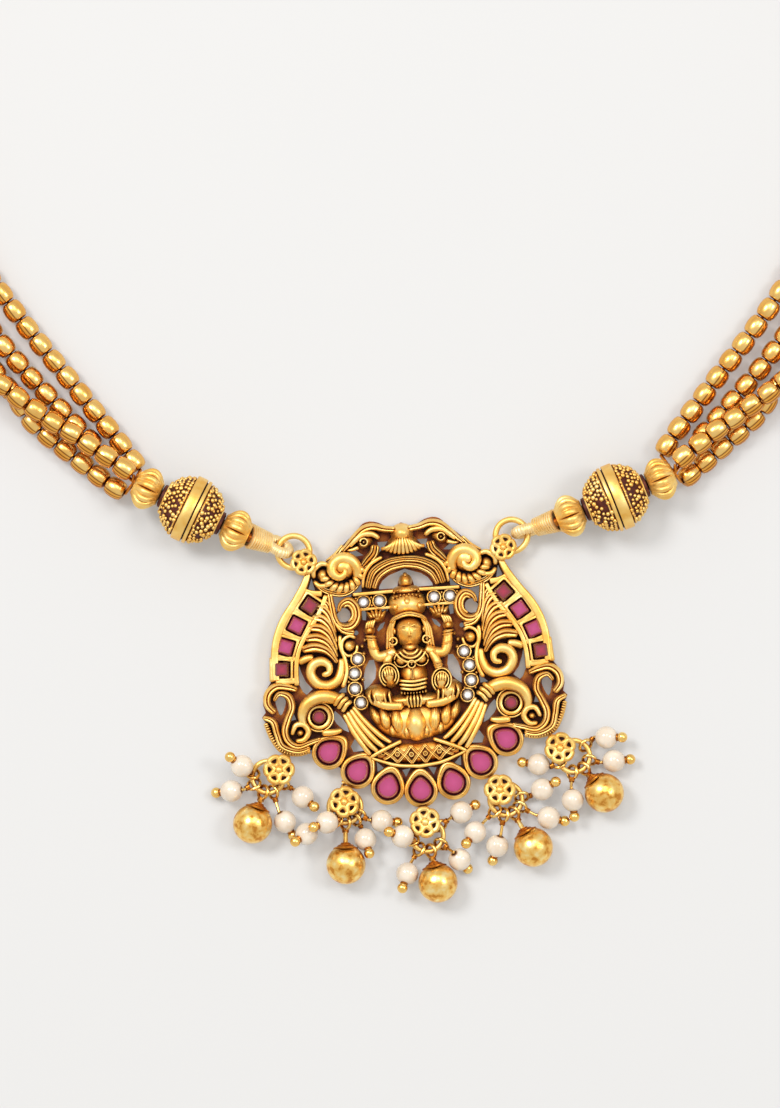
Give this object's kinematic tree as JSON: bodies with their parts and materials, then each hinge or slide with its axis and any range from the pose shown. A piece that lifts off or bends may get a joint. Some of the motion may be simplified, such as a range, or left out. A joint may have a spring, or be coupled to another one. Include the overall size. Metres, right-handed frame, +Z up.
{
  "type": "temple jewellery necklace",
  "caption": "Gold temple necklace lying open: pierced figure pendant with rubies, white stones and pearl drops, on strands of round gold beads.",
  "frame": {"origin": "on the table under the middle of the whole necklace's bounding box", "axes": "the necklace lies on a table seen from above: +X to the viewer's right, +Y from the pendant towards the back of the neck, +Z up from the table"},
  "size_m": [0.1618, 0.2028, 0.0102],
  "materials": {
    "cast_gold": "matte antique gold",
    "bright_gold": "satin gold",
    "ruby": "polished ruby",
    "white_stone": "polished clear stone",
    "pearl": "pearl lustre"
  },
  "bodies": {
    "root": {"pendant_casting": "cast_gold", "white_stones": "white_stone", "pear_ruby_1": "ruby", "pear_ruby_2": "ruby", "pear_ruby_3": "ruby", "pear_ruby_4": "ruby", "pear_ruby_5": "ruby", "pear_ruby_6": "ruby", "pear_ruby_7": "ruby", "square_ruby_1": "ruby", "square_ruby_2": "ruby", "square_ruby_3": "ruby", "square_ruby_4": "ruby", "square_ruby_5": "ruby", "square_ruby_6": "ruby", "square_ruby_7": "ruby", "square_ruby_8": "ruby", "round_ruby_left": "ruby", "round_ruby_right": "ruby", "flower_ring_1": "cast_gold", "flower_ring_2": "cast_gold", "flower_ring_3": "cast_gold", "flower_ring_4": "cast_gold", "flower_ring_5": "cast_gold", "gold_ball_1": "bright_gold", "gold_ball_2": "bright_gold", "gold_ball_3": "bright_gold", "gold_ball_4": "bright_gold", "gold_ball_5": "bright_gold", "pearls_1": "pearl", "pearls_2": "pearl", "pearls_3": "pearl", "pearls_4": "pearl", "pearls_5": "pearl", "pearl_pins_1": "bright_gold", "pearl_pins_2": "bright_gold", "pearl_pins_3": "bright_gold", "pearl_pins_4": "bright_gold", "pearl_pins_5": "bright_gold", "wound_loop_left": "bright_gold", "inner_fluted_bead_left": "cast_gold", "granulated_ball_left": "cast_gold", "outer_fluted_bead_left": "cast_gold", "inner_strand_beads_left": "bright_gold", "inner_strand_thread_left": "bright_gold", "near_strand_left": "bright_gold", "top_strand_left": "bright_gold", "outer_strand_left": "bright_gold", "wound_loop_right": "bright_gold", "inner_fluted_bead_right": "cast_gold", "granulated_ball_right": "cast_gold", "outer_fluted_bead_right": "cast_gold", "inner_strand_beads_right": "bright_gold", "inner_strand_thread_right": "bright_gold", "near_strand_right": "bright_gold", "top_strand_right": "bright_gold", "outer_strand_right": "bright_gold", "clasp_bar": "cast_gold"}
  },
  "joints": []
}
